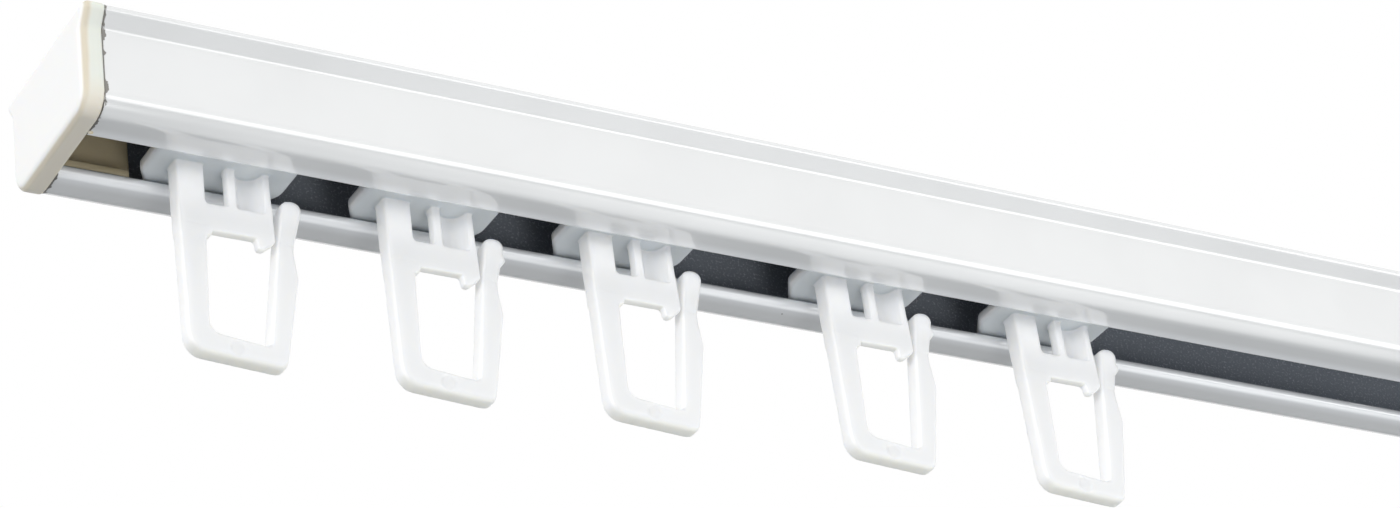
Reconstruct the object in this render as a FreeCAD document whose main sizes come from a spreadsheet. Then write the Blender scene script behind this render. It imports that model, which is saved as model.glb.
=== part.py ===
import FreeCAD, Part
import os

import Sketcher

# Ceiling curtain track: a roll-formed steel channel with a slot along its underside, a moulded
# cap pushed into each end, and five moulded gliders whose shoes slide on the channel's lips.
# Millimetres, +Z up, +X along the track. The origin is the middle of the top face, which is
# screwed to the ceiling. Each piece is drawn with Z = 0 at the underside of the lips.

# Driving dimensions: name, value, what it measures.
SIZES = [
    ("track_length", 240.0, "length of the steel channel between the two cap plates"),
    ("track_height", 13.0, "underside of the lips to the top face"),
    ("body_width", 20.0, "outside width over the upright sides"),
    ("sheet_thick", 0.7, "thickness of the steel strip"),
    ("flare_drop", 2.7, "height of the leaning band along the top of each side"),
    ("flare_angle", 35.0, "lean of the upper band, degrees from upright"),
    ("flare_bend", 1.0, "outside radius of the bend below the leaning band"),
    ("top_bend", 0.6, "outside radius of the bend along the top edges"),
    ("bottom_bend", 2.5, "outside radius of the bend along the bottom edges"),
    ("slot_width", 7.7, "gap between the two rolled lips"),
    ("lip_height", 1.6, "height of the rolled inner edge of each lip"),
    ("hem_width", 2.6, "how far the strip is folded back on each lip"),
    ("screw_hole", 4.5, "diameter of the screw holes in the top"),
    ("screw_inset", 45.0, "screw hole to the end of the channel"),
    ("cap_thick", 2.7, "thickness of a cap's plate"),
    ("cap_proud", 0.15, "how far the cap's plate stands proud of the channel"),
    ("cap_edge", 0.6, "rounding of the cap's outer rim"),
    ("plug_length", 10.0, "depth to which the cap's two tongues enter the channel"),
    ("plug_gap", 0.12, "clearance between a tongue and the channel's walls"),
    ("plug_height", 8.6, "top of the tongues above the lips' underside"),
    ("foot_length", 9.0, "length of the foot along the bottom of each tongue"),
    ("foot_thick", 0.8, "thickness of that foot"),
    ("foot_inset", 0.75, "edge of the foot, back from the slot's edge"),
    ("ride_gap", 0.1, "clearance under a glider's shoe"),
    ("shoe_length", 17.4, "length of a glider's shoe"),
    ("shoe_width", 15.0, "width of the shoe across the channel"),
    ("shoe_nose", 5.0, "width of the shoe's blunt ends"),
    ("shoe_taper", 3.0, "length over which each end narrows"),
    ("shoe_thick", 1.4, "thickness of the shoe"),
    ("shoe_edge", 0.35, "rounding of the shoe's lower edge"),
    ("leg_thick", 2.6, "depth of the legs and the crossbar, front to back"),
    ("leg_reach", 6.0, "middle of the shoe to the outside of the left leg"),
    ("left_leg", 3.35, "width of the left leg"),
    ("right_leg", 5.5, "width of the right leg"),
    ("leg_drop", 3.5, "underside of the lips to the top of the crossbar"),
    ("bar_height", 3.5, "height of the crossbar"),
    ("bar_short", 0.4, "crossbar's end, back from the reach of the left leg"),
    ("bar_thick", 1.3, "depth of the crossbar, which is flush with the front of the legs"),
    ("gutter_width", 3.4, "width of the round gutter down the front of the right leg"),
    ("gutter_web", 0.7, "web left behind that gutter"),
    ("loop_thick", 2.5, "depth of the loop, front to back"),
    ("loop_drop", 23.4, "underside of the lips to the underside of the loop"),
    ("loop_slope", 0.8, "how much lower the loop's bottom is at the free arm"),
    ("loop_bar", 2.6, "height of the loop's bottom bar"),
    ("loop_corner", 2.4, "outside radius at the foot of the left arm"),
    ("arm_foot", 2.75, "width of the left arm at its foot"),
    ("arm_lean_in", 0.25, "how far the left arm's outside leans in at its foot"),
    ("free_foot", 2.0, "width of the free arm at its foot"),
    ("free_foot_out", 0.15, "how far the free arm's foot stands out from its neck"),
    ("free_neck", 2.0, "width of the free arm at its neck"),
    ("free_shoulder", 2.35, "outside of the free arm's shoulder from the inside of its neck"),
    ("shoulder_drop", 11.6, "underside of the lips to the shoulder"),
    ("neck_drop", 7.6, "underside of the lips to the neck"),
    ("latch_gap", 0.3, "gap between the crossbar's end and the free arm"),
    ("tip_width", 2.6, "diameter of the free arm's round tip"),
    ("tip_drop", 1.0, "underside of the lips to the top of the tip"),
    ("tip_lean", 2.1, "how far the tip leans out from the crossbar's end"),
    ("nib_width", 2.3, "width of the barb under the crossbar's end"),
    ("nib_height", 1.4, "height of that barb"),
    ("nib_inset", 0.1, "barb, back from the end of the crossbar"),
    ("nib_root", 0.3, "how far the barb's root is drawn into the crossbar"),
    ("stub_width", 0.5, "width of the gate's stub in the window's upper left corner"),
    ("stub_drop", 0.65, "height of that stub"),
    ("mould_mark", 1.3, "diameter of the round mark of the mould's pin"),
    ("mark_depth", 0.08, "depth of that mark"),
    ("moulded_edge", 0.35, "small easing of the loop's edges and the window's corners"),
    ("leg_edge", 0.3, "rounding of the left leg's outer edges"),
    ("leg_bend", 1.8, "rounding up the back of the right leg"),
    ("leg_draft", 0.25, "taper of the right leg towards the shoe"),
    ("glider_1_place", 18.2, "middle of glider 1 from the left end of the channel"),
    ("glider_2_place", 44.0, "middle of glider 2 from there"),
    ("glider_3_place", 70.2, "middle of glider 3 from there"),
    ("glider_4_place", 103.1, "middle of glider 4 from there"),
    ("glider_5_place", 131.5, "middle of glider 5 from there"),
    ("glider_1_side", 0.5, "glider 1 off the middle of the slot, in which it has side play"),
    ("glider_2_side", 0.45, "glider 2 off the middle of the slot"),
    ("glider_3_side", -0.45, "glider 3 off the middle of the slot"),
    ("glider_4_side", -0.5, "glider 4 off the middle of the slot"),
    ("glider_5_side", -0.1, "glider 5 off the middle of the slot"),
]
GLIDER_COUNT = 5

doc = FreeCAD.newDocument("CurtainTrack")

sheet = doc.addObject("Spreadsheet::Sheet", "Size")
for row, (alias, value, meaning) in enumerate(SIZES, start=1):
    sheet.set(f"A{row}", meaning)
    sheet.set(f"B{row}", str(value))
    sheet.setAlias(f"B{row}", alias)
doc.recompute()


def named(text):
    """Turns the words of a formula that are aliases of the sheet into references to it."""
    words = set(alias for alias, value, meaning in SIZES)
    parts = []
    word = ""
    for letter in text + " ":
        if letter.isalnum() or letter == "_":
            word += letter
            continue
        parts.append(f"Size.{word}" if word in words else word)
        parts.append(letter)
        word = ""
    return "".join(parts).strip()


def value_of(text):
    """The number that a formula of the sheet's names gives now."""
    return float(sheet.evalExpression(named(text)))


def add_body(label):
    """An empty body with its own label."""
    body = doc.addObject("PartDesign::Body", label)
    body.Label = label
    return body


def add_sketch(body, name, plane, lift="0"):
    """A sketch on one of the body's origin planes, lifted along the plane's normal."""
    sketch = body.newObject("Sketcher::SketchObject", name)
    support = [part for part in body.Origin.OriginFeatures if part.Role == plane][0]
    sketch.AttachmentSupport = [(support, "")]
    sketch.MapMode = "FlatFace"
    sketch.setExpression("AttachmentOffset.Base.z", named(lift))
    return sketch


def hold(sketch, kind, geometry, point, formula):
    """Holds one coordinate of a point at what a formula gives."""
    value = value_of(formula)
    index = sketch.addConstraint(Sketcher.Constraint(kind, geometry, point, value))
    sketch.setExpression(f"Constraints[{index}]", named(formula))


def draw_outline(sketch, corners):
    """Draws straight lines through the corners, each held by two formulas, and closes them."""
    points = [FreeCAD.Vector(value_of(across), value_of(up), 0) for across, up in corners]
    first = sketch.GeometryCount
    count = len(corners)
    for index in range(count):
        sketch.addGeometry(Part.LineSegment(points[index], points[(index + 1) % count]))
    for index in range(count):
        line = first + index
        following = first + (index + 1) % count
        sketch.addConstraint(Sketcher.Constraint("Coincident", line, 2, following, 1))
    for index, (across, up) in enumerate(corners):
        hold(sketch, "DistanceX", first + index, 1, across)
        hold(sketch, "DistanceY", first + index, 1, up)


def draw_circle(sketch, across, up, diameter):
    """Draws a circle whose middle and diameter are held by formulas."""
    middle = FreeCAD.Vector(value_of(across), value_of(up), 0)
    radius = value_of(diameter) / 2
    circle = sketch.addGeometry(Part.Circle(middle, FreeCAD.Vector(0, 0, 1), radius))
    hold(sketch, "DistanceX", circle, 3, across)
    hold(sketch, "DistanceY", circle, 3, up)
    index = sketch.addConstraint(Sketcher.Constraint("Diameter", circle, 2 * radius))
    sketch.setExpression(f"Constraints[{index}]", named(diameter))


def mirrored(corners):
    """The corners of one half and their mirror images across the sketch's upright axis."""
    other = [(f"-({across})", up) for across, up in reversed(corners)]
    return corners + other


def add_pad(body, name, sketch, length, midplane=False, reverse=False):
    """Extrudes a sketch by what a formula gives."""
    pad = body.newObject("PartDesign::Pad", name)
    pad.Profile = sketch
    pad.SideType = "Symmetric" if midplane else "One side"
    pad.Reversed = reverse
    pad.setExpression("Length", named(length))
    doc.recompute()
    return pad


def add_pocket(body, name, sketch, length, midplane=False, reverse=False):
    """Cuts a sketch into the body and makes sure that something was removed."""
    before = body.Shape.Volume
    pocket = body.newObject("PartDesign::Pocket", name)
    pocket.Profile = sketch
    pocket.SideType = "Symmetric" if midplane else "One side"
    pocket.Reversed = reverse
    pocket.setExpression("Length", named(length))
    doc.recompute()
    if body.Shape.Volume >= before:
        raise RuntimeError(f"{name} removes nothing")
    return pocket


def edges_through(feature, axis, places):
    """Names of the straight edges along an axis that pass through the given places.

    A place has a coordinate for each of the two other axes, in the order X, Y, Z.
    """
    others = [index for index in range(3) if index != axis]
    names = []
    for number, edge in enumerate(feature.Shape.Edges, start=1):
        if edge.Curve.TypeId != "Part::GeomLine":
            continue
        start, end = [vertex.Point for vertex in edge.Vertexes]
        along = end - start
        if abs(along[axis]) < 0.999 * along.Length:
            continue
        for place in places:
            if max(abs(start[index] - at) for index, at in zip(others, place)) < 0.001:
                names.append(f"Edge{number}")
    return names


def add_fillet(body, name, feature, edges, radius, flat=False):
    """Rounds the named edges by what a formula gives, or cuts them flat."""
    if not edges:
        raise RuntimeError(f"{name} found no edge")
    kind, size = ("Chamfer", "Size") if flat else ("Fillet", "Radius")
    form = body.newObject(f"PartDesign::{kind}", name)
    form.Base = (feature, edges)
    form.setExpression(size, named(radius))
    doc.recompute()
    if "Invalid" in form.State:
        raise RuntimeError(f"{name} failed")
    return form


def both_sides(across, up):
    """A place and its mirror image across the middle of the track, as numbers."""
    return [(value_of(across), value_of(up)), (-value_of(across), value_of(up))]


# Section of the channel, written once and used by the channel and by the caps.
HALF_BODY = "body_width / 2"
LEAN = "tan(flare_angle * 1 deg)"
FLARE_START = "(track_height - flare_drop)"
TOP_REACH = f"({HALF_BODY} + flare_drop * {LEAN})"
INNER_SIDE = f"({HALF_BODY} - sheet_thick)"
INNER_CREASE = f"({FLARE_START} + sheet_thick * tan(flare_angle * 0.5 deg))"
INNER_TOP_REACH = (f"({HALF_BODY} - sheet_thick / cos(flare_angle * 1 deg)"
                   f" + (flare_drop - sheet_thick) * {LEAN})")
HALF_SLOT = "slot_width / 2"

# Heights and places shared by the parts of a glider.
SHOE_BOTTOM = "(lip_height + ride_gap)"
BAR_TOP = "-leg_drop"
BAR_BOTTOM = "(-leg_drop - bar_height)"
LEFT_OUT = "-leg_reach"
LEFT_IN = "(left_leg - leg_reach)"
BAR_END = "(leg_reach - bar_short)"
RIGHT_IN = f"({BAR_END} - right_leg)"


def build_track():
    """The roll-formed channel: outer form, hollow, slot, rolled lips and screw holes."""
    body = add_body("track")
    sketch = add_sketch(body, "outer_section", "YZ_Plane")
    draw_outline(sketch, mirrored([
        (HALF_BODY, "0"), (HALF_BODY, FLARE_START), (TOP_REACH, "track_height")]))
    add_pad(body, "outer_form", sketch, "track_length", midplane=True)
    sketch = add_sketch(body, "inner_section", "YZ_Plane")
    draw_outline(sketch, mirrored([
        (INNER_SIDE, "sheet_thick"), (INNER_SIDE, INNER_CREASE),
        (INNER_TOP_REACH, "track_height - sheet_thick")]))
    form = add_pocket(body, "hollow", sketch, "track_length * 2", midplane=True)
    bends = [
        ("inner_bottom_bends", INNER_SIDE, "sheet_thick", "bottom_bend - sheet_thick"),
        ("bottom_bends", HALF_BODY, "0", "bottom_bend"),
        ("inner_flare_bends", INNER_SIDE, INNER_CREASE, "flare_bend + sheet_thick"),
        ("flare_bends", HALF_BODY, FLARE_START, "flare_bend"),
        ("top_bends", TOP_REACH, "track_height", "top_bend")]
    for name, across, up, radius in bends:
        edges = edges_through(form, 0, both_sides(across, up))
        form = add_fillet(body, name, form, edges, radius)

    sketch = add_sketch(body, "hem_section", "YZ_Plane")
    for side in ("", "-"):
        draw_outline(sketch, [
            (f"{side}({HALF_SLOT})", "0"), (f"{side}({HALF_SLOT} + hem_width)", "0"),
            (f"{side}({HALF_SLOT} + hem_width)", "lip_height"),
            (f"{side}({HALF_SLOT})", "lip_height")])
    add_pad(body, "hems", sketch, "track_length", midplane=True)
    sketch = add_sketch(body, "slot_section", "YZ_Plane")
    draw_outline(sketch, mirrored([(HALF_SLOT, "-sheet_thick"), (HALF_SLOT, "lip_height * 2")]))
    form = add_pocket(body, "slot", sketch, "track_length * 2", midplane=True)
    places = both_sides(HALF_SLOT, "0") + both_sides(HALF_SLOT, "lip_height")
    edges = edges_through(form, 0, places)
    form = add_fillet(body, "rolled_lips", form, edges, "lip_height * 0.49")

    sketch = add_sketch(body, "screw_places", "XY_Plane", "track_height")
    for side in ("", "-"):
        draw_circle(sketch, f"{side}(track_length / 2 - screw_inset)", "0", "screw_hole")
    add_pocket(body, "screw_holes", sketch, "sheet_thick * 2")
    body.setExpression("Placement.Base.z", named("-track_height"))
    return body


def build_cap(label, side):
    """A moulded end cap: a plate that follows the section, and two tongues with feet.

    side is -1 at the left end of the channel and 1 at its right end.
    """
    body = add_body(label)
    sketch = add_sketch(body, "plate_outline", "YZ_Plane")
    side_out = f"({HALF_BODY} + cap_proud)"
    top_out = f"({TOP_REACH} + cap_proud * (1 + {LEAN}))"
    draw_outline(sketch, mirrored([
        (side_out, "-cap_proud"), (side_out, FLARE_START),
        (top_out, "track_height + cap_proud")]))
    form = add_pad(body, "plate", sketch, "cap_thick", reverse=True)
    corners = [
        ("plate_bottom_bends", side_out, "-cap_proud", "bottom_bend + cap_proud"),
        ("plate_flare_bends", side_out, FLARE_START, "flare_bend"),
        ("plate_top_bends", top_out, "track_height + cap_proud", "top_bend + cap_proud")]
    for name, across, up, radius in corners:
        edges = edges_through(form, 0, both_sides(across, up))
        form = add_fillet(body, name, form, edges, radius)
    outer_face = [f"Face{number}" for number, face in enumerate(form.Shape.Faces, start=1)
                  if abs(face.CenterOfMass.x + value_of("cap_thick")) < 0.001]
    form = add_fillet(body, "rim", form, outer_face, "cap_edge", flat=True)

    tongue_in = f"({HALF_SLOT} + hem_width + plug_gap)"
    tongue_out = f"({INNER_SIDE} - plug_gap)"
    foot_in = f"({HALF_SLOT} + foot_inset)"
    foot_bottom = "(lip_height + plug_gap)"
    sketch = add_sketch(body, "tongue_outline", "YZ_Plane")
    for hand in ("", "-"):
        draw_outline(sketch, [
            (f"{hand}{tongue_in}", foot_bottom), (f"{hand}{tongue_out}", foot_bottom),
            (f"{hand}{tongue_out}", "plug_height"), (f"{hand}{tongue_in}", "plug_height")])
    form = add_pad(body, "tongues", sketch, "plug_length")
    sketch = add_sketch(body, "foot_outline", "YZ_Plane")
    for hand in ("", "-"):
        draw_outline(sketch, [
            (f"{hand}{foot_in}", foot_bottom), (f"{hand}{tongue_out}", foot_bottom),
            (f"{hand}{tongue_out}", f"{foot_bottom} + foot_thick"),
            (f"{hand}{foot_in}", f"{foot_bottom} + foot_thick")])
    form = add_pad(body, "feet", sketch, "foot_length")
    tongue_end = [(value_of("plug_length"), sign * value_of(place))
                  for place in (tongue_in, tongue_out) for sign in (-1, 1)]
    edges = edges_through(form, 2, tongue_end)
    add_fillet(body, "tongue_ends", form, edges, "plug_gap * 4")

    if side > 0:
        body.Placement.Rotation = FreeCAD.Rotation(FreeCAD.Vector(0, 0, 1), 180)
    body.setExpression("Placement.Base.x", named(f"{side} * track_length / 2"))
    body.setExpression("Placement.Base.z", named("-track_height"))
    return body


def build_glider(number):
    """One moulded glider: the sprung loop, two legs, crossbar with its barb, and the shoe."""
    body = add_body(f"glider_{number}")

    sketch = add_sketch(body, "loop_outline", "XZ_Plane")
    bar_mid = f"({BAR_BOTTOM} + bar_height / 2)"
    foot_left = f"({LEFT_OUT} + arm_lean_in)"
    foot_right = f"({BAR_END} + latch_gap + free_foot_out)"
    bottom_left = "(loop_slope - loop_drop)"
    neck_in = f"({BAR_END} + latch_gap)"
    tip_in = f"({BAR_END} + latch_gap + tip_lean - tip_width / 2)"
    corners = [
        (LEFT_OUT, bar_mid), (foot_left, bottom_left), (foot_right, "-loop_drop"),
        (f"({neck_in} + free_shoulder)", "-shoulder_drop"),
        (f"({neck_in} + free_neck)", "-neck_drop"),
        (f"({tip_in} + tip_width)", "(-tip_drop - tip_width / 2)"),
        (f"({tip_in} + tip_width)", "-tip_drop"), (tip_in, "-tip_drop"),
        (tip_in, "(-tip_drop - tip_width / 2)"), (neck_in, BAR_BOTTOM),
        (f"({foot_right} - free_foot)", "(loop_bar - loop_drop)"),
        (f"({foot_left} + arm_foot)", f"({bottom_left} + loop_bar)"),
        (LEFT_IN, bar_mid)]
    draw_outline(sketch, corners)
    form = add_pad(body, "loop", sketch, "loop_thick", midplane=True)
    bends = [
        ("loop_foot", [1], "loop_corner"), ("loop_far_foot", [2], "free_foot / 2"),
        ("shoulder", [3], "free_neck / 2"), ("neck", [4, 9], "free_neck * 2"),
        ("tip", [6, 7], "tip_width * 0.42"), ("loop_inside_left", [11], "loop_bar / 2"),
        ("loop_inside_right", [10], "loop_bar / 5")]
    for name, indices, radius in bends:
        places = [(value_of(corners[index][0]), value_of(corners[index][1])) for index in indices]
        form = add_fillet(body, name, form, edges_through(form, 1, places), radius)
    faces = [f"Face{place}" for place, face in enumerate(form.Shape.Faces, start=1)
             if abs(abs(face.CenterOfMass.y) - value_of("loop_thick / 2")) < 0.001]
    add_fillet(body, "loop_edges", form, faces, "moulded_edge", flat=True)

    sketch = add_sketch(body, "legs_outline", "XZ_Plane")
    leg_top = f"({SHOE_BOTTOM} + shoe_thick / 2)"
    draw_outline(sketch, [
        (LEFT_OUT, leg_top), (LEFT_OUT, f"({BAR_BOTTOM} - stub_drop)"),
        (f"({LEFT_IN} + stub_width)", f"({BAR_BOTTOM} - stub_drop)"),
        (f"({LEFT_IN} + stub_width)", BAR_BOTTOM), (BAR_END, BAR_BOTTOM),
        (f"({BAR_END} - leg_draft)", leg_top), (RIGHT_IN, leg_top), (RIGHT_IN, BAR_TOP),
        (LEFT_IN, BAR_TOP), (LEFT_IN, leg_top)])
    form = add_pad(body, "legs_and_bar", sketch, "leg_thick", midplane=True)
    outside = [(value_of(LEFT_OUT), side * value_of("leg_thick / 2")) for side in (-1, 1)]
    form = add_fillet(body, "leg_edges", form, edges_through(form, 2, outside), "leg_edge")
    back = [(value_of(across), value_of("leg_thick / 2"))
            for across in (RIGHT_IN, BAR_END, f"({BAR_END} - leg_draft)")]
    form = add_fillet(body, "leg_back", form, edges_through(form, 2, back), "leg_bend")
    window = [(value_of(across), value_of(BAR_TOP)) for across in (RIGHT_IN, LEFT_IN)]
    form = add_fillet(body, "window_corners", form, edges_through(form, 1, window), "moulded_edge")

    sketch = add_sketch(body, "behind_bar_outline", "XZ_Plane", "leg_thick / 2 - bar_thick")
    draw_outline(sketch, [
        (LEFT_IN, f"({BAR_BOTTOM} - stub_drop * 2)"), (LEFT_IN, BAR_TOP),
        (f"({BAR_END} + latch_gap / 2)", BAR_TOP),
        (f"({BAR_END} + latch_gap / 2)", f"({BAR_BOTTOM} - stub_drop * 2)")])
    add_pocket(body, "behind_bar", sketch, "leg_thick")

    sketch = add_sketch(body, "gutter_outline", "XY_Plane", BAR_TOP)
    gutter_middle = "(leg_thick / 2 - gutter_web - gutter_width / 2)"
    draw_circle(sketch, f"({BAR_END} - right_leg / 2)", gutter_middle, "gutter_width")
    add_pocket(body, "leg_gutter", sketch, f"leg_drop + {SHOE_BOTTOM}", reverse=True)

    sketch = add_sketch(body, "barb_outline", "XZ_Plane", "leg_thick / 2 - bar_thick")
    barb_right = f"({BAR_END} - nib_inset)"
    barb_root = f"({BAR_BOTTOM} + nib_root)"
    barb_tip = f"({BAR_BOTTOM} - nib_height)"
    tip_left = f"({barb_right} - nib_width * 0.9)"
    tip_right = f"({barb_right} - nib_width * 0.6)"
    draw_outline(sketch, [
        (f"({barb_right} - nib_width)", barb_root), (tip_left, barb_tip), (tip_right, barb_tip),
        (barb_right, f"({BAR_BOTTOM} - nib_root)"), (barb_right, barb_root)])
    form = add_pad(body, "barb", sketch, "bar_thick")
    ends = [(value_of(across), value_of(barb_tip)) for across in (tip_left, tip_right)]
    add_fillet(body, "barb_end", form, edges_through(form, 1, ends), "nib_width / 9")

    sketch = add_sketch(body, "shoe_outline", "XY_Plane", SHOE_BOTTOM)
    shoulder = "(shoe_length / 2 - shoe_taper)"
    draw_outline(sketch, [
        ("-shoe_length / 2", "-shoe_nose / 2"), (f"-{shoulder}", "-shoe_width / 2"),
        (shoulder, "-shoe_width / 2"), ("shoe_length / 2", "-shoe_nose / 2"),
        ("shoe_length / 2", "shoe_nose / 2"), (shoulder, "shoe_width / 2"),
        (f"-{shoulder}", "shoe_width / 2"), ("-shoe_length / 2", "shoe_nose / 2")])
    form = add_pad(body, "shoe", sketch, "shoe_thick")
    for name, along, across, radius in (
            ("nose_bends", "shoe_length / 2", "shoe_nose / 2", "shoe_thick"),
            ("side_bends", shoulder, "shoe_width / 2", "shoe_taper")):
        places = [(side * value_of(along), hand * value_of(across))
                  for side in (-1, 1) for hand in (-1, 1)]
        form = add_fillet(body, name, form, edges_through(form, 2, places), radius)

    around = [f"Edge{place}" for place, edge in enumerate(form.Shape.Edges, start=1)
              if max(abs(vertex.Z - value_of(SHOE_BOTTOM)) for vertex in edge.Vertexes) < 0.001
              and (abs(edge.CenterOfMass.y) > value_of("leg_thick")
                   or abs(edge.CenterOfMass.x) > value_of("leg_reach") + value_of("shoe_thick"))]
    add_fillet(body, "shoe_edge", form, around, "shoe_edge", flat=True)

    sketch = add_sketch(body, "mark_outline", "XZ_Plane", "loop_thick / 2")
    draw_circle(sketch, "-0.1", "(loop_bar / 2 + loop_slope / 2 - loop_drop)", "mould_mark")
    add_pocket(body, "pin_mark", sketch, "mark_depth")

    body.setExpression("Placement.Base.x", named(f"glider_{number}_place - track_length / 2"))
    body.setExpression("Placement.Base.y", named(f"glider_{number}_side"))
    body.setExpression("Placement.Base.z", named("-track_height"))
    return body


pieces = [build_track(), build_cap("end_cap_left", -1), build_cap("end_cap_right", 1)]
pieces += [build_glider(number) for number in range(1, GLIDER_COUNT + 1)]
doc.recompute()

for item in doc.Objects:
    if "Invalid" in item.State or "Error" in item.State:
        raise RuntimeError(f"{item.Name} failed: {item.State}")
os.makedirs("parts", exist_ok=True)
for piece in pieces:
    shape = piece.Shape
    if shape.isNull() or not shape.isValid() or len(shape.Solids) != 1:
        raise RuntimeError(f"{piece.Label} is not one sound solid")
    box = shape.BoundBox
    print(f"{piece.Label}: {shape.Volume:.1f} mm3, X {box.XMin:.2f} to {box.XMax:.2f},"
          f" Y {box.YMin:.2f} to {box.YMax:.2f}, Z {box.ZMin:.2f} to {box.ZMax:.2f}")
    shape.exportStep(f"parts/{piece.Label}.step")
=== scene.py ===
"""Looks of a ceiling curtain track: rolled steel channel, moulded end caps and hook gliders.

Everything is in metres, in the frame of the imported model: +X along the track, +Y away from the
side that is seen, +Z up, with the origin in the middle of the top face.
"""

import logging
import math
from dataclasses import dataclass, field
from enum import Enum

import bmesh
import bpy
import numpy as np
from mathutils import Matrix, Vector


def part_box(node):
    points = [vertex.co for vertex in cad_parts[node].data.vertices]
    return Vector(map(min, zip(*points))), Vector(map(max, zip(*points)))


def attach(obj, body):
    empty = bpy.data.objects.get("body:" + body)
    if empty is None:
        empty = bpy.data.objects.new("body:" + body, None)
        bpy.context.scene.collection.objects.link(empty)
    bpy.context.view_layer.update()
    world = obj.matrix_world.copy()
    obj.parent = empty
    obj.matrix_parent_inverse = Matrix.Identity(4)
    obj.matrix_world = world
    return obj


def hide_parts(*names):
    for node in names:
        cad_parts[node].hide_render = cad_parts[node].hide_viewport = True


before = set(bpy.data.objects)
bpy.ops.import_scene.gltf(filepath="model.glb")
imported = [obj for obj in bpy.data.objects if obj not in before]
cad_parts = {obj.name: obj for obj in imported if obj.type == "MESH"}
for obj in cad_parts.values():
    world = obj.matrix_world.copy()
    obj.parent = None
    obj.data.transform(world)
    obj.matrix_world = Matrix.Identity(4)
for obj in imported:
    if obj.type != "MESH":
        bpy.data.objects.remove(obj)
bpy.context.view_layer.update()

log = logging.getLogger("curtain_track")
MM = 0.001

Socket = bpy.types.NodeSocket
Point = tuple[float, float, float]
# Where an effect starts and where it is full, either of which may be the larger number.
Span = tuple[float, float]


class Slot(Enum):
    """Names of the record's material slots, passed along with the new pieces."""

    CAP = "cap_plastic"
    GLIDER = "glider_nylon"


def linear(colour: str) -> tuple[float, float, float, float]:
    """Turns an sRGB hex colour into linear RGBA, by the sRGB curve on each channel.

    Args:
        colour: six hex digits, such as "F4F4F2".

    Returns:
        Red, green, blue and an alpha of 1.
    """
    shares = [int(colour[at:at + 2], 16) / 255 for at in (0, 2, 4)]
    red, green, blue = [
        share / 12.92 if share <= 0.04045 else ((share + 0.055) / 1.055) ** 2.4 for share in shares]
    return red, green, blue, 1.0


def per_metre(size_mm: float) -> float:
    """The scale of a noise whose lumps lie the given millimetres apart."""
    return 1 / (size_mm * MM)


class Graph:
    """The node tree of one material, lamp or world, with the one way to add a node to it.

    A Mix of colours takes them at its inputs 6 and 7 and gives the result at its output 2.
    """

    def __init__(self, tree: bpy.types.NodeTree) -> None:
        """Empties the tree.

        Args:
            tree: the node tree to build in.
        """
        self.tree = tree
        tree.nodes.clear()

    def add(self, kind: str, output: int | str = 0, **values: object) -> Socket | None:
        """Adds a node with its settings and links.

        Args:
            kind: the node's type name after "ShaderNode".
            output: number or name of the output that is wanted.
            values: the node's own settings, such as operation, and a value or a socket for each
                input that isn't left as it is. An input goes by its name, with _ for each space,
                or by "at" and its number.

        Returns:
            The wanted output, or None from a node without outputs.
        """
        node = self.tree.nodes.new(f"ShaderNode{kind}")
        settings = [name for name in values if name in node.bl_rna.properties]
        for name in settings:
            setattr(node, name, values.pop(name))
        for name, value in values.items():
            socket = node.inputs[int(name[2:]) if name.startswith("at") else name.replace("_", " ")]
            if isinstance(value, Socket):
                self.tree.links.new(value, socket)
            else:
                socket.default_value = value
        return node.outputs[output] if node.outputs else None


@dataclass(frozen=True)
class Section:
    """The channel's section, in metres, as the construction has it."""

    half_body: float = 10.0 * MM
    top: float = 0.0
    bottom: float = -13.0 * MM
    crease: float = -2.7 * MM
    lean_degrees: float = 35.0
    sheet: float = 0.7 * MM
    lip: float = 1.6 * MM


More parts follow.
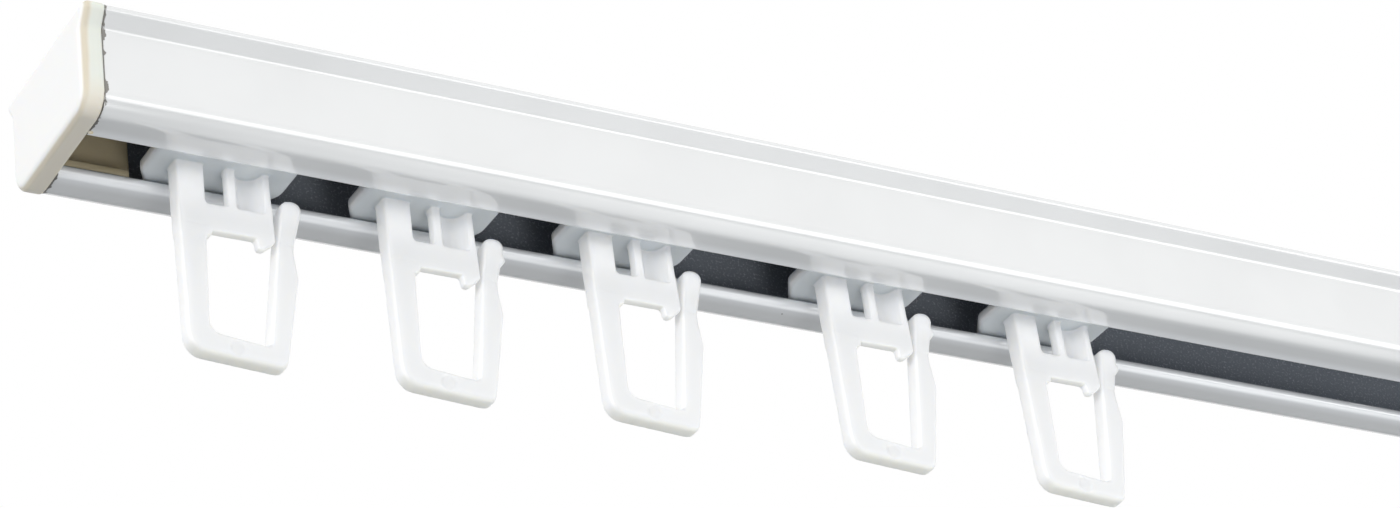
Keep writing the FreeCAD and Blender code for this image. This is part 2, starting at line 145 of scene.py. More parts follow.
@dataclass(frozen=True)
class StovedPaint:
    """Roll-formed steel strip with white stoved enamel outside and dark primer inside.

    The paint was baked on the flat strip before it was rolled, so it is even and glossy, with a
    faint orange peel drawn out along the strip. The rolled edges of the slot are painted whiter,
    as a painted highlight.
    The inside carries only a thin grainy primer, which makes the slot look nearly black. The strip
    was sawn through the paint at its ends, which left small chips that show bare dark metal along
    the joint with the cap. One speck of dirt was baked in beside the slot.
    """

    half_length: float
    section: Section = Section()
    white: str = "DADBDB"
    white_cloud: str = "D7D8D8"
    cloud_mm: float = 14.0
    cloud_step: Span = (0.35, 0.65)
    # Painted highlight: the slot's rolled edges are painted this whiter white, between these heights
    # and these distances from the middle.
    painted_roll_highlight: str = "F3F5F7"
    roll_highlight_heights: Span = (-9.0 * MM, -11.0 * MM)
    roll_highlight_sides: Span = (6.2 * MM, 4.2 * MM)
    primer: str = "969CA5"
    primer_grain: str = "C6CAD0"
    # The primer's real grit is finer than 0.1 mm and wouldn't show, so it is drawn coarser.
    grain_mm: float = 0.3
    grain_step: Span = (0.52, 0.68)
    inside_step: Span = (0.45, 0.6)
    peel_mm: float = 1.6
    peel_stretch: Point = (0.25, 1.0, 1.0)
    peel_share: float = 0.35
    relief: float = 0.03 * MM
    relief_strength: float = 0.55
    chip: str = "57534A"
    chip_mm: float = 1.3
    chip_step: Span = (0.4, 0.7)
    chip_run_mm: float = 5.0
    chip_run_step: Span = (0.36, 0.52)
    chip_reach: float = 0.45 * MM
    saw_line: float = 0.13 * MM
    chip_edge: Span = (0.05 * MM, -0.05 * MM)
    speck_place: Point = (-24.75 * MM, 5.6 * MM, -13.0 * MM)
    speck_radius: float = 0.11 * MM
    speck_edge: Span = (1.3, 0.7)
    enamel_roughness: float = 0.3
    primer_roughness: float = 0.6
    enamel_edge: float = 0.7 * MM
    gloss_edge: float = 0.3 * MM
    bevel_samples: int = 8

    def build(self) -> bpy.types.Material:
        """Makes the material for the whole strip.

        The coat is the enamel's gloss. It is stronger than a clear coat's, which gives the bright
        lines along the bends.

        Returns:
            The material, which tells inside from outside by the section's own sizes.
        """
        material = bpy.data.materials.new("stoved_enamel_on_rolled_steel")
        material.use_nodes = True
        graph = Graph(material.node_tree)
        place = graph.add("TexCoord", "Object")
        along, across, up = graph.add("SeparateXYZ", Vector=place).node.outputs
        side = graph.add("Math", operation="ABSOLUTE", at0=across)
        inside = self.inside_mask(graph, side, up)
        bare = self.bare_mask(graph, place, along)
        enamel = self.enamel(graph, place, side, up)
        grain = graph.add("TexNoise", Vector=place, Scale=per_metre(self.grain_mm), Detail=6.0)
        grit = graph.add("MapRange", interpolation_type="SMOOTHSTEP", Value=grain,
                         From_Min=self.grain_step[0], From_Max=self.grain_step[1])
        primer = graph.add("Mix", 2, data_type="RGBA", at0=grit, at6=linear(self.primer),
                           at7=linear(self.primer_grain))
        outside = graph.add("Mix", 2, data_type="RGBA", at0=bare, at6=enamel, at7=linear(self.chip))
        colour = graph.add("Mix", 2, data_type="RGBA", at0=inside, at6=outside, at7=primer)
        roughness = graph.add("MapRange", Value=inside, To_Min=self.enamel_roughness,
                              To_Max=self.primer_roughness)
        gloss = graph.add("Math", operation="SUBTRACT", at0=1.0, at1=inside)

        drawn = graph.add("Mapping", Vector=place, Scale=self.peel_stretch)
        peel = graph.add("TexNoise", Vector=drawn, Scale=per_metre(self.peel_mm), Detail=2.0)
        ripple = graph.add("Math", operation="MULTIPLY", at0=peel, at1=self.peel_share)
        height = graph.add("Mix", at0=inside, at2=ripple, at3=grain)
        rounded = graph.add("Bevel", samples=self.bevel_samples, Radius=self.enamel_edge)
        glossy = graph.add("Bevel", samples=self.bevel_samples, Radius=self.gloss_edge)
        normal = graph.add("Bump", Height=height, Distance=self.relief,
                           Strength=self.relief_strength, Normal=rounded)
        shader = graph.add("BsdfPrincipled", Base_Color=colour, Roughness=roughness, Normal=normal,
                           IOR=1.5, Coat_Weight=gloss, Coat_Roughness=0.03, Coat_IOR=2.3,
                           Coat_Normal=glossy)
        graph.add("OutputMaterial", Surface=shader)
        return material

    def enamel(self, graph: Graph, place: Socket, side: Socket, up: Socket) -> Socket:
        """The enamel's own white, a little cloudy, and a painted highlight on the slot's rolled edges.

        Args:
            graph: the material's nodes.
            place: the point on the track.
            side: its distance from the middle plane.
            up: its height.

        Returns:
            The colour.
        """
        cloud = graph.add("TexNoise", Vector=place, Scale=per_metre(self.cloud_mm), Detail=2.0)
        cloudy = graph.add("MapRange", interpolation_type="SMOOTHSTEP", Value=cloud,
                           From_Min=self.cloud_step[0], From_Max=self.cloud_step[1])
        white = graph.add("Mix", 2, data_type="RGBA", at0=cloudy, at6=linear(self.white),
                          at7=linear(self.white_cloud))
        # Painted highlight on the rolled edges of the slot, low down and near the middle.
        low = graph.add("MapRange", interpolation_type="SMOOTHSTEP", Value=up,
                        From_Min=self.roll_highlight_heights[0], From_Max=self.roll_highlight_heights[1])
        near = graph.add("MapRange", interpolation_type="SMOOTHSTEP", Value=side,
                         From_Min=self.roll_highlight_sides[0], From_Max=self.roll_highlight_sides[1])
        rolled = graph.add("Math", operation="MULTIPLY", at0=low, at1=near)
        return graph.add("Mix", 2, data_type="RGBA", at0=rolled, at6=white, at7=linear(self.painted_roll_highlight))

    def bare_mask(self, graph: Graph, place: Socket, along: Socket) -> Socket:
        """1 where no white is left: on the saw's line, on the chips behind it and on the speck.

        The chips are a noise within longer runs, and each reaches in from the end of the strip by
        its own share of the longest reach.

        Args:
            graph: the material's nodes.
            place: the point on the track.
            along: its place along the track.

        Returns:
            The mask.
        """
        far = graph.add("Math", operation="ABSOLUTE", at0=along)
        edge = graph.add("Math", operation="SUBTRACT", at0=self.half_length, at1=far)
        run = graph.add("TexNoise", Vector=place, Scale=per_metre(self.chip_run_mm), Detail=1.0)
        runs = graph.add("MapRange", interpolation_type="SMOOTHSTEP", Value=run,
                         From_Min=self.chip_run_step[0], From_Max=self.chip_run_step[1])
        chip = graph.add("TexNoise", Vector=place, Scale=per_metre(self.chip_mm), Detail=6.0)
        chips = graph.add("MapRange", interpolation_type="SMOOTHSTEP", Value=chip,
                          From_Min=self.chip_step[0], From_Max=self.chip_step[1])
        share = graph.add("Math", operation="MULTIPLY", at0=runs, at1=chips)
        depth = graph.add("Math", operation="MULTIPLY", at0=share, at1=self.chip_reach)
        reach = graph.add("Math", operation="ADD", at0=depth, at1=self.saw_line)
        beyond = graph.add("Math", operation="SUBTRACT", at0=edge, at1=reach)
        chipped = graph.add("MapRange", interpolation_type="SMOOTHSTEP", Value=beyond,
                            From_Min=self.chip_edge[0], From_Max=self.chip_edge[1])
        distance = graph.add("VectorMath", "Value", operation="DISTANCE", at0=place,
                             at1=self.speck_place)
        outer, inner = [self.speck_radius * share for share in self.speck_edge]
        speck = graph.add("MapRange", interpolation_type="SMOOTHSTEP", Value=distance,
                          From_Min=outer, From_Max=inner)
        return graph.add("Math", operation="MAXIMUM", at0=chipped, at1=speck)

    def inside_mask(self, graph: Graph, side: Socket, up: Socket) -> Socket:
        """1 on the strip's inner side and 0 outside, by how deep a point lies under the outer form.

        The half width is that of the upright side, and above the crease it grows with the lean.
        The depth is the least of the ways to the side, to the top and to the plane that lies one
        sheet below the lip's upper face.

        Args:
            graph: the material's nodes.
            side: the point's distance from the middle plane.
            up: its height.

        Returns:
            The mask, which turns from 0 to 1 within the sheet's thickness.
        """
        size = self.section
        lean = math.tan(math.radians(size.lean_degrees))
        over = graph.add("Math", operation="SUBTRACT", at0=up, at1=size.crease)
        leaning = graph.add("Math", operation="MAXIMUM", at0=over, at1=0.0)
        flare = graph.add("Math", operation="MULTIPLY", at0=leaning, at1=lean)
        half = graph.add("Math", operation="ADD", at0=flare, at1=size.half_body)
        from_side = graph.add("Math", operation="SUBTRACT", at0=half, at1=side)
        from_top = graph.add("Math", operation="SUBTRACT", at0=size.top, at1=up)
        from_slot = graph.add("Math", operation="SUBTRACT", at0=up,
                              at1=size.bottom + size.lip - size.sheet)
        least = graph.add("Math", operation="MINIMUM", at0=from_side, at1=from_top)
        depth = graph.add("Math", operation="MINIMUM", at0=least, at1=from_slot)
        start, full = [size.sheet * share for share in self.inside_step]
        return graph.add("MapRange", interpolation_type="SMOOTHSTEP", Value=depth, From_Min=start,
                         From_Max=full)


@dataclass(frozen=True)
class CapPlastic:
    """Ivory moulded polypropylene, slightly warmer where it meets the channel and underneath.

    The outer face is pale and flat. The rim is warmer, and the tongues in the slot are painted
    brown: partly the old plastic's yellowing, partly painted shade, since the light that reaches
    them has passed the dark inside.
    """

    face_x: float
    face: str = "F6F6F5"
    rim: str = "D9DCD4"
    rim_depths: Span = (0.1 * MM, 1.3 * MM)
    corner: str = "CDC3AD"
    corner_share: float = 0.85
    corner_starts: Span = (0.12 * MM, 0.42 * MM)
    corner_ends: Span = (1.25 * MM, 0.65 * MM)
    under: str = "DBD5C8"
    under_heights: Span = (-8.5 * MM, -12.8 * MM)
    # The tongues are painted brown: partly the plastic's yellowing, partly painted shade of the dark
    # slot.
    tongue: str = "CDBF9F"
    tongue_depths: Span = (2.4 * MM, 3.2 * MM)
    cloud_mm: float = 5.0
    wobble: float = 0.7 * MM
    # The mould's real texture is finer than 0.1 mm and wouldn't show, so it is drawn coarser.
    texture_mm: float = 0.5
    texture_depth: float = 0.02 * MM

    def build(self) -> bpy.types.Material:
        """Makes the material, whose warm tints and painted shade follow the height and the depth behind
        the face.

        Returns:
            The material of both caps.
        """
        material = bpy.data.materials.new("ivory_moulded_polypropylene")
        material.use_nodes = True
        graph = Graph(material.node_tree)
        place = graph.add("TexCoord", "Object")
        along, _, up = graph.add("SeparateXYZ", Vector=place).node.outputs
        cloud = graph.add("TexNoise", Vector=place, Scale=per_metre(self.cloud_mm), Detail=4.0)
        uneven = graph.add("Math", operation="SUBTRACT", at0=cloud, at1=0.5)
        wobble = graph.add("Math", operation="MULTIPLY", at0=uneven, at1=self.wobble)
        far = graph.add("Math", operation="ABSOLUTE", at0=along)
        true_depth = graph.add("Math", operation="SUBTRACT", at0=self.face_x, at1=far)
        depth = graph.add("Math", operation="ADD", at0=true_depth, at1=wobble)
        height = graph.add("Math", operation="ADD", at0=up, at1=wobble)

        rim = graph.add("MapRange", interpolation_type="SMOOTHSTEP", Value=depth,
                        From_Min=self.rim_depths[0], From_Max=self.rim_depths[1])
        low = graph.add("MapRange", interpolation_type="SMOOTHSTEP", Value=height,
                        From_Min=self.under_heights[0], From_Max=self.under_heights[1])
        # Painted shade, with the plastic's yellowing: the tongues deep behind the face turn brown.
        inner = graph.add("MapRange", interpolation_type="SMOOTHSTEP", Value=depth,
                          From_Min=self.tongue_depths[0], From_Max=self.tongue_depths[1])
        starting = graph.add("MapRange", interpolation_type="SMOOTHSTEP", Value=true_depth,
                             From_Min=self.corner_starts[0], From_Max=self.corner_starts[1])
        ending = graph.add("MapRange", interpolation_type="SMOOTHSTEP", Value=depth,
                           From_Min=self.corner_ends[0], From_Max=self.corner_ends[1])
        turned = graph.add("Math", operation="MULTIPLY", at0=starting, at1=ending)
        corner = graph.add("Math", operation="MULTIPLY", at0=turned, at1=self.corner_share)
        beneath = graph.add("Math", operation="MULTIPLY", at0=rim, at1=low)
        colour = linear(self.face)
        layers = ((rim, self.rim), (corner, self.corner), (beneath, self.under), (inner, self.tongue))
        for share, tone in layers:
            colour = graph.add("Mix", 2, data_type="RGBA", at0=share, at6=colour, at7=linear(tone))

        texture = graph.add("TexNoise", Vector=place, Scale=per_metre(self.texture_mm), Detail=4.0)
        normal = graph.add("Bump", Height=texture, Distance=self.texture_depth, Strength=0.35)
        shader = graph.add("BsdfPrincipled", Base_Color=colour, Roughness=0.42, Normal=normal, IOR=1.49,
                           Subsurface_Weight=0.25, Subsurface_Scale=1.2 * MM,
                           Subsurface_Radius=(1.0, 0.8, 0.5))
        graph.add("OutputMaterial", Surface=shader)
        return material


@dataclass(frozen=True)
class GliderNylon:
    """White moulded nylon: satin, with a little light passing through its thin edges.

    A soft unevenness of the mould shows in the sheen. Faces that point down carry painted shade:
    bluish grey in the slot, and paler with a faint olive tint on the loop. The loop's flat fronts
    are painted a shade greyer than its sides, as painted shade.
    """

    white: str = "F7F7F7"
    shade: str = "F4F4F4"
    cloud_mm: float = 3.5
    cloud_step: Span = (0.3, 0.7)
    # The loop's fronts are painted this greyer white, as painted shade.
    loop: str = "DDDEDF"
    loop_heights: Span = (-13.5 * MM, -19.0 * MM)
    side_step: Span = (0.45, 0.85)
    # Painted shade on faces that point down: olive-tinted on the loop, bluish grey in the slot.
    under: str = "ECECE7"
    shaded: str = "D8DDDF"
    down_step: Span = (0.35, 0.95)
    sink_mm: float = 2.2
    sink_depth: float = 0.04 * MM
    # The mould's real texture is finer than 0.1 mm and wouldn't show, so it is drawn coarser.
    texture_mm: float = 0.25
    texture_depth: float = 0.008 * MM
    relief_strength: float = 0.3

    def build(self) -> bpy.types.Material:
        """Makes the material, with the sink marks of thick places as low bumps.

        Returns:
            The material of all the gliders.
        """
        material = bpy.data.materials.new("white_moulded_nylon")
        material.use_nodes = True
        graph = Graph(material.node_tree)
        place = graph.add("TexCoord", "Object")
        height = graph.add("SeparateXYZ", "Z", Vector=place)
        facing = graph.add("NewGeometry", "Normal")
        facing_x, _, facing_z = graph.add("SeparateXYZ", Vector=facing).node.outputs
        cloud = graph.add("TexNoise", Vector=place, Scale=per_metre(self.cloud_mm), Detail=3.0)
        cloudy = graph.add("MapRange", interpolation_type="SMOOTHSTEP", Value=cloud,
                           From_Min=self.cloud_step[0], From_Max=self.cloud_step[1])
        white = graph.add("Mix", 2, data_type="RGBA", at0=cloudy, at6=linear(self.white),
                          at7=linear(self.shade))
        # Painted shade: the loop's fronts, though not its sides, turn greyer.
        on_loop = graph.add("MapRange", interpolation_type="SMOOTHSTEP", Value=height,
                            From_Min=self.loop_heights[0], From_Max=self.loop_heights[1])
        sideways = graph.add("Math", operation="ABSOLUTE", at0=facing_x)
        on_side = graph.add("MapRange", interpolation_type="SMOOTHSTEP", Value=sideways,
                            From_Min=self.side_step[0], From_Max=self.side_step[1])
        front = graph.add("Math", operation="SUBTRACT", at0=1.0, at1=on_side)
        front_shade = graph.add("Math", operation="MULTIPLY", at0=on_loop, at1=front)
        upper = graph.add("Mix", 2, data_type="RGBA", at0=front_shade, at6=white, at7=linear(self.loop))
        # Painted shade on faces that point down, bluish grey in the slot and paler on the loop.
        beneath = graph.add("Mix", 2, data_type="RGBA", at0=on_loop, at6=linear(self.shaded),
                            at7=linear(self.under))
        downward = graph.add("Math", operation="MULTIPLY", at0=facing_z, at1=-1.0)
        down = graph.add("MapRange", interpolation_type="SMOOTHSTEP", Value=downward,
                         From_Min=self.down_step[0], From_Max=self.down_step[1])
        colour = graph.add("Mix", 2, data_type="RGBA", at0=down, at6=upper, at7=beneath)

        sink = graph.add("TexNoise", Vector=place, Scale=per_metre(self.sink_mm), Detail=1.0)
        texture = graph.add("TexNoise", Vector=place, Scale=per_metre(self.texture_mm), Detail=3.0)
        sunk = graph.add("Bump", Height=sink, Distance=self.sink_depth,
                         Strength=self.relief_strength)
        normal = graph.add("Bump", Height=texture, Distance=self.texture_depth,
                           Strength=self.relief_strength, Normal=sunk)
        shader = graph.add("BsdfPrincipled", Base_Color=colour, Roughness=0.34, Normal=normal, IOR=1.53,
                           Subsurface_Weight=0.9, Subsurface_Scale=2.2 * MM,
                           Subsurface_Radius=(1.0, 0.95, 0.85))
        graph.add("OutputMaterial", Surface=shader)
        return material


def dress(node: str, material: bpy.types.Material) -> None:
    """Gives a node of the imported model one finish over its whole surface.

    Args:
        node: the node's name.
        material: its finish.
    """
    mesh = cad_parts[node].data
    mesh.materials.clear()
    mesh.materials.append(material)


def points_of(mesh: bpy.types.Mesh) -> np.ndarray:
    """Reads the points of a mesh.

    Args:
        mesh: the mesh to read.

    Returns:
        Its points, one row each.
    """
    points = np.empty(len(mesh.vertices) * 3)
    mesh.vertices.foreach_get("co", points)
    return points.reshape(-1, 3)


def move_points(mesh: bpy.types.Mesh, points: np.ndarray) -> None:
    """Puts the points of a mesh at new places.

    Args:
        mesh: the mesh to change.
        points: the new places, one row each.
    """
    mesh.vertices.foreach_set("co", points.ravel())
    mesh.update()


def rise(values: np.ndarray, span: Span) -> np.ndarray:
    """A straight rise from 0 to 1.

    Args:
        values: one number for each point.
        span: the value that gives 0 and the value that gives 1.

    Returns:
        A share from 0 to 1 for each point.
    """
    start, full = span
    return np.clip((values - start) / (full - start), 0, 1)


@dataclass
class SoftForm:
    """A node's own form with its edges softened, as a mould leaves them."""

    voxel: float
    rounds: int
    weld: float = 0.002 * MM

    def welded_copy(self, node: str) -> bpy.types.Object:
        """Copies a node's mesh and merges its loose triangles into one closed skin.

        Args:
            node: the node's name.

        Returns:
            A loose object with the copy.
        """
        shell = bmesh.new()
        shell.from_mesh(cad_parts[node].data)
        bmesh.ops.remove_doubles(shell, verts=shell.verts, dist=self.weld)
        mesh = bpy.data.meshes.new(f"{node}_skin")
        shell.to_mesh(mesh)
        shell.free()
        piece = bpy.data.objects.new(f"{node}_skin", mesh)
        bpy.context.scene.collection.objects.link(piece)
        return piece

    def applied(self, piece: bpy.types.Object) -> bpy.types.Mesh:
        """Works out the mesh that a piece's modifiers give.

        Args:
            piece: the piece, which stays as it is.

        Returns:
            A mesh of its own.
        """
        graph = bpy.context.evaluated_depsgraph_get()
        graph.update()
        return bpy.data.meshes.new_from_object(piece.evaluated_get(graph))

    def soften(self, node: str) -> bpy.types.Object:
        """Makes the node's form in even quads, smoothed all over.

        Args:
            node: the node's name.

        Returns:
            A loose object with the softened form.
        """
        piece = self.welded_copy(node)
        remesh = piece.modifiers.new("even_quads", "REMESH")
        remesh.mode = "VOXEL"
        remesh.voxel_size = self.voxel
        smooth = piece.modifiers.new("even_softening", "SMOOTH")
        smooth.iterations = self.rounds
        piece.data = self.applied(piece)
        piece.data.shade_smooth()
        piece.modifiers.clear()
        return piece

    def place(self, mesh: bpy.types.Mesh, node: str, body: str, slot: Slot) -> None:
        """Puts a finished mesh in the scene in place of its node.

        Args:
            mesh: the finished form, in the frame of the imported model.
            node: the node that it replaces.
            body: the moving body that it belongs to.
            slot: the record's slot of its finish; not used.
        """
        piece = bpy.data.objects.new(f"{node}_moulding", mesh)
        bpy.context.scene.collection.objects.link(piece)
        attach(piece, body)
        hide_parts(node)
        log.info("%s has %d faces", piece.name, len(mesh.polygons))


@dataclass
class Caps:
    """The two end caps with the soft rim of a moulding."""

    form: SoftForm = field(default_factory=lambda: SoftForm(voxel=0.18 * MM, rounds=9))
    foot_reach: float = 120.0 * MM
    foot_side: float = 6.4 * MM
    foot_top_drops: Span = (10.2 * MM, 10.85 * MM)
    foot_rise: float = 0.3 * MM
    burr_cap: str = "end_cap_left"
    burr_place: Point = (-119.75 * MM, -5.0 * MM, -13.05 * MM)
    burr_radius: float = 0.22 * MM
    burr_stretch: Point = (1.5, 1.0, 0.8)

    def raise_feet(self, mesh: bpy.types.Mesh) -> None:
        """Makes the foot of each tongue thicker upward, by moving the points of its upper face.

        Args:
            mesh: the softened cap.
        """
        points = points_of(mesh)
        along, across, drop = np.abs(points).T
        start, end = self.foot_top_drops
        foot = (along < self.foot_reach) & (across < self.foot_side) & (drop > start) & (drop < end)
        points[foot, 2] += self.foot_rise
        move_points(mesh, points)

    def add_burr(self, mesh: bpy.types.Mesh) -> None:
        """Adds the small white burr that stands at the slot's corner of the left cap.

        Args:
            mesh: the softened cap.
        """
        shell = bmesh.new()
        shell.from_mesh(mesh)
        at = Matrix.Translation(self.burr_place) @ Matrix.Diagonal((*self.burr_stretch, 1.0))
        bmesh.ops.create_icosphere(shell, subdivisions=3, radius=self.burr_radius, matrix=at)
        shell.to_mesh(mesh)
        shell.free()
        mesh.shade_smooth()

    def build(self, material: bpy.types.Material) -> None:
        """Makes both caps.

        Args:
            material: their finish.
        """
        for node in ("end_cap_left", "end_cap_right"):
            dress(node, material)
            soft = self.form.soften(node)
            mesh = soft.data
            self.raise_feet(mesh)
            if node == self.burr_cap:
                self.add_burr(mesh)
            mesh.materials.clear()
            mesh.materials.append(material)
            bpy.data.objects.remove(soft)
            self.form.place(mesh, node, "track", Slot.CAP)


@dataclass
class Gliders:
    """The five mouldings, all from one mould.

    Places on a glider are measured from the middle of its shoe's top face: across to the right and
    down.
    """

    form: SoftForm = field(default_factory=lambda: SoftForm(voxel=0.14 * MM, rounds=8))
    shoe_half: float = 8.7 * MM
    shoe_depth: float = 2.5 * MM
    outer_rounds: int = 36
    weight_steps: int = 10
    left_arm: Span = (-4.3 * MM, -5.2 * MM)
    bottom_bar: Span = (25.1 * MM, 25.9 * MM)
    under_crossbar: Span = (7.0 * MM, 8.5 * MM)
    barb_top: Span = (10.2 * MM, 10.5 * MM)
    barb_bottom: Span = (12.5 * MM, 11.5 * MM)
    barb_left: Span = (3.0 * MM, 3.3 * MM)
    barb_right: Span = (5.7 * MM, 5.6 * MM)
    barb_share: float = 0.5
    tip_left: Span = (6.0 * MM, 6.4 * MM)
    tip_bottom: Span = (13.0 * MM, 12.0 * MM)
    front_depth: float = 0.9 * MM
    line_start: float = -4.3 * MM
    line_arms: Span = (-2.5 * MM, 5.75 * MM)
    line_drop: float = 9.5 * MM
    line_slope: float = 0.075
    line_depth: float = 0.05 * MM
    line_width: float = 0.14 * MM
    pin_drop: float = 24.9 * MM
    pin_radius: float = 1.05 * MM
    pin_rim: float = 0.25 * MM
    pin_depth: float = 0.16 * MM
    thorn_gliders: tuple[str, ...] = ("glider_2", "glider_4", "glider_5")
    thorn_side: Span = (7.1 * MM, 8.0 * MM)
    thorn_drop: float = 7.0 * MM
    thorn_half: float = 0.9 * MM
    thorn_reach: float = 0.5 * MM
    names: list[str] = field(default_factory=lambda: sorted(
        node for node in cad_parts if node.startswith("glider_")))

    def outer_share(self, across: np.ndarray, down: np.ndarray) -> np.ndarray:
        """How much each point belongs to the edges that are rounder than the rest.

        They are the outside of the left arm and of the bottom bar, the tip of the free arm and, by
        half, the crossbar's barb. Each is the product of straight rises across and down, and the
        greatest counts.

        Args:
            across: each point's place to the right of the shoe's middle.
            down: its place below the shoe's top.

        Returns:
            A weight from 0 to 1 for each point.
        """
        left = rise(across, self.left_arm) * rise(down, self.under_crossbar)
        low = rise(down, self.bottom_bar)
        barb = rise(down, self.barb_top) * rise(down, self.barb_bottom)
        barb *= rise(across, self.barb_left) * rise(across, self.barb_right)
        tip = rise(across, self.tip_left) * rise(down, self.tip_bottom)
        return np.maximum.reduce([left, low, self.barb_share * barb, tip])

    def pressed(self, points: np.ndarray, middle: np.ndarray) -> np.ndarray:
        """Presses the marks of the mould into the front.

        They are a faint line across both arms, where its halves met, and the round mark of the pin
        that pushed the moulding out, in the middle of the bottom bar. The line is a bell curve in
        the height, and the mark a flat round dent with a straight rim.

        Args:
            points: the mesh's points, one row each.
            middle: the middle of the shoe's top face.

        Returns:
            The moved points.
        """
        across, down = points[:, 0] - middle[0], middle[2] - points[:, 2]
        line = self.line_drop + self.line_slope * (across - self.line_start)
        left_end, right_start = self.line_arms
        on_arm = (across < left_end) | (across > right_start)
        front = points[:, 1] < middle[1] - self.front_depth
        groove = self.line_depth * np.exp(-((down - line) / self.line_width) ** 2) * on_arm
        rim = (self.pin_radius - np.hypot(across, down - self.pin_drop)) / self.pin_rim
        moved = points.copy()
        moved[:, 1] += (groove + self.pin_depth * np.clip(rim, 0, 1)) * front
        return moved

    def draw_thorn(self, mesh: bpy.types.Mesh, middle: np.ndarray) -> None:
        """Draws a small thorn of flash out of the right side of the free arm, under its tip.

        Args:
            mesh: the moulding.
            middle: the middle of the shoe's top face.
        """
        points = points_of(mesh)
        across, down = points[:, 0] - middle[0], middle[2] - points[:, 2]
        near = np.clip(1 - np.abs(down - self.thorn_drop) / self.thorn_half, 0, 1)
        points[:, 0] += self.thorn_reach * rise(across, self.thorn_side) * near
        move_points(mesh, points)

    def moulded(self, node: str) -> bpy.types.Mesh:
        """Makes the node's softened form, with its outer edges rounder than the rest.

        Args:
            node: the glider whose solid gives the form.

        Returns:
            The form, at the place of its node.
        """
        piece = self.form.soften(node)
        points = points_of(piece.data)
        top = points[:, 2].max()
        shoe = points[points[:, 2] > top - self.shoe_depth]
        middle = np.array([*((shoe.min(0) + shoe.max(0)) / 2)[:2], top])
        weights = self.outer_share(points[:, 0] - middle[0], middle[2] - points[:, 2])
        group = piece.vertex_groups.new(name="outer")
        for level in range(1, self.weight_steps + 1):
            members = np.nonzero(np.ceil(weights * self.weight_steps) == level)[0]
            group.add(members.tolist(), level / self.weight_steps, "REPLACE")
        smooth = piece.modifiers.new("outer_softening", "SMOOTH")
        smooth.iterations = self.outer_rounds
        smooth.vertex_group = group.name
        mesh = self.form.applied(piece)
        bpy.data.objects.remove(piece)
        move_points(mesh, self.pressed(points_of(mesh), middle))
        mesh.shade_smooth()
        return mesh

    def build(self, material: bpy.types.Material) -> None:
        """Makes one moulding for each node, all from the first one's form, moved to its node.

        Args:
            material: their finish.
        """
        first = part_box(self.names[0])[0]
        form = self.moulded(self.names[0])
        form.materials.clear()
        form.materials.append(material)
        for node in self.names:
            dress(node, material)
            mesh = form.copy()
            low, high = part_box(node)
            mesh.transform(Matrix.Translation(low - first))
            if node in self.thorn_gliders:
                self.draw_thorn(mesh, np.array([low.x + self.shoe_half, 0.0, high.z]))
            self.form.place(mesh, node, node, Slot.GLIDER)
        bpy.data.meshes.remove(form)


@dataclass(frozen=True)
class Softbox:
    """A rectangular softbox whose cloth dims smoothly towards its edges, at the same power.

    Its size is its width and height, its power is in watts, and its aim is the point that it
    faces, which lies in the photographed stretch unless another is given. Its fade is the share of
    its width, and of its height, that dims along each edge.
    """

    name: str
    place: Point
    size: tuple[float, float]
    power: float
    aim: Point = (-0.02, 0.0, -0.01)
    fade: float = 0.35

    def build(self) -> None:
        """Adds the lamp."""
        light = bpy.data.lights.new(self.name, "AREA")
        light.shape = "RECTANGLE"
        light.size, light.size_y = self.size
        light.energy = self.power
        self.fade_edges(light)
        lamp = bpy.data.objects.new(self.name, light)
        toward = Vector(self.aim) - Vector(self.place)
        turn = toward.to_track_quat("-Z", "Y").to_matrix().to_4x4()
        lamp.matrix_world = Matrix.Translation(self.place) @ turn
        bpy.context.scene.collection.objects.link(lamp)

    def fade_edges(self, light: bpy.types.AreaLight) -> None:
        """Makes the light the product of two smooth steps, each by the way to the nearer edge.

        Args:
            light: the lamp's light.
        """
        light.use_nodes = True
        graph = Graph(light.node_tree)
        spot = graph.add("NewGeometry", "Parametric")
        wide, high, _ = graph.add("SeparateXYZ", Vector=spot).node.outputs
        shares = []
        for way in (wide, high):
            back = graph.add("Math", operation="SUBTRACT", at0=1.0, at1=way)
            nearer = graph.add("Math", operation="MINIMUM", at0=way, at1=back)
            shares.append(graph.add("MapRange", interpolation_type="SMOOTHSTEP", Value=nearer,
                                    From_Max=self.fade))
        share = graph.add("Math", operation="MULTIPLY", at0=shares[0], at1=shares[1])
        strength = graph.add("Math", operation="MULTIPLY", at0=share, at1=(1 - self.fade) ** -2)
        emission = graph.add("Emission", Strength=strength)
        graph.add("OutputLight", Surface=emission)


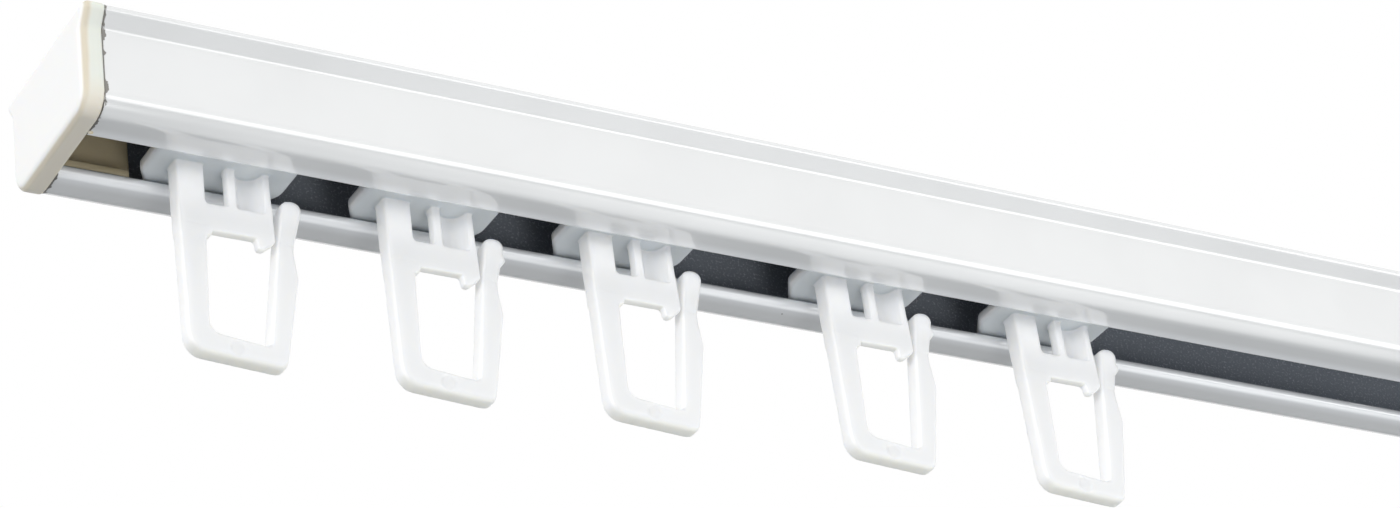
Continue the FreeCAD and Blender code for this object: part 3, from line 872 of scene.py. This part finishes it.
@dataclass
class Studio:
    """Pale floor, white surroundings and large soft lamps round the hanging track.

    The floor lies so far below that a view from below still looks up at the track over it.
    """

    floor_drop: float = 1.6
    floor_half: float = 11.4
    floor_tone: str = "8E9194"
    floor_cloud: str = "8B8E91"
    floor_cloud_mm: float = 60.0
    sky: float = 1.0
    softboxes: tuple[Softbox, ...] = (
        Softbox("front_softbox", (0.68, -0.80, -0.16), (1.8, 0.55), 2.7),
        Softbox("left_softbox", (-1.50, -0.85, -0.20), (1.6, 0.7), 10.6),
        Softbox("low_softbox", (-0.06, -0.36, -0.37), (0.3, 0.3), 0.55),
        Softbox("floor_softbox", (0.27, -0.20, -0.40), (0.5, 1.2), 0.72, (0.26, -0.165, 0.0)),
    )

    def build_floor(self) -> None:
        """Makes the floor, a plain square of matt board."""
        half = self.floor_half
        signs = ((-1, -1), (1, -1), (1, 1), (-1, 1))
        corners = [(x * half, y * half, -self.floor_drop) for x, y in signs]
        mesh = bpy.data.meshes.new("floor")
        mesh.from_pydata(corners, [], [(0, 1, 2, 3)])
        material = bpy.data.materials.new("pale_board")
        material.use_nodes = True
        graph = Graph(material.node_tree)
        place = graph.add("TexCoord", "Object")
        cloud = graph.add("TexNoise", Vector=place, Scale=per_metre(self.floor_cloud_mm), Detail=3.0)
        colour = graph.add("Mix", 2, data_type="RGBA", at0=cloud, at6=linear(self.floor_tone),
                           at7=linear(self.floor_cloud))
        shader = graph.add("BsdfPrincipled", Base_Color=colour, Roughness=0.8)
        graph.add("OutputMaterial", Surface=shader)
        mesh.materials.append(material)
        floor = bpy.data.objects.new("floor", mesh)
        bpy.context.scene.collection.objects.link(floor)

    def build_world(self) -> None:
        """Makes the surroundings an even white, as in a light tent."""
        world = bpy.data.worlds.new("light_tent")
        world.use_nodes = True
        graph = Graph(world.node_tree)
        background = graph.add("Background", Color=(1.0, 1.0, 1.0, 1.0), Strength=self.sky)
        graph.add("OutputWorld", Surface=background)
        bpy.context.scene.world = world

    def build(self) -> None:
        """Makes the floor, the surroundings and the lamps."""
        self.build_floor()
        self.build_world()
        for softbox in self.softboxes:
            softbox.build()


@dataclass
class Camera:
    """The camera of the photograph, worked out from the object's own edges.

    Its angles are in degrees, and its lens and sensor in millimetres.
    """

    place: Point = (-0.2657, -0.33466, -0.2508)
    azimuth: float = -34.083
    elevation: float = -30.751
    roll: float = -8.446
    lens: float = 100.476
    sensor: float = 36.0
    nearest: float = 0.01

    def build(self) -> None:
        """Makes the camera: its back axis from two angles, then a roll about that axis."""
        turn, tilt, roll = [math.radians(angle) for angle in (self.azimuth, self.elevation, self.roll)]
        level_back = Vector((math.sin(turn), -math.cos(turn), 0))
        back = level_back * math.cos(tilt) + Vector((0, 0, math.sin(tilt)))
        level = (-back).cross(Vector((0, 0, 1))).normalized()
        upright = level.cross(-back)
        right = level * math.cos(roll) + upright * math.sin(roll)
        up = upright * math.cos(roll) - level * math.sin(roll)
        data = bpy.data.cameras.new("camera")
        data.lens = self.lens
        data.sensor_width = self.sensor
        data.clip_start = self.nearest
        camera = bpy.data.objects.new("camera", data)
        turned = Matrix((right, up, back)).transposed().to_4x4()
        camera.matrix_world = Matrix.Translation(self.place) @ turned
        bpy.context.scene.collection.objects.link(camera)
        bpy.context.scene.camera = camera


@dataclass
class Track:
    """The dressed curtain track: channel, caps and gliders."""

    def build(self) -> None:
        """Dresses each node with its finish and reports it."""
        dress("track", StovedPaint(half_length=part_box("track")[1].x).build())
        log.info("channel dressed")
        Caps().build(CapPlastic(face_x=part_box("end_cap_right")[1].x).build())
        Gliders().build(GliderNylon().build())


def main() -> None:
    """Builds the object, the studio and the camera, in that order."""
    logging.basicConfig(level=logging.INFO, format="%(message)s")
    bpy.context.scene.view_settings.view_transform = "Standard"
    Track().build()
    Studio().build()
    Camera().build()


if __name__ == "__main__":
    main()
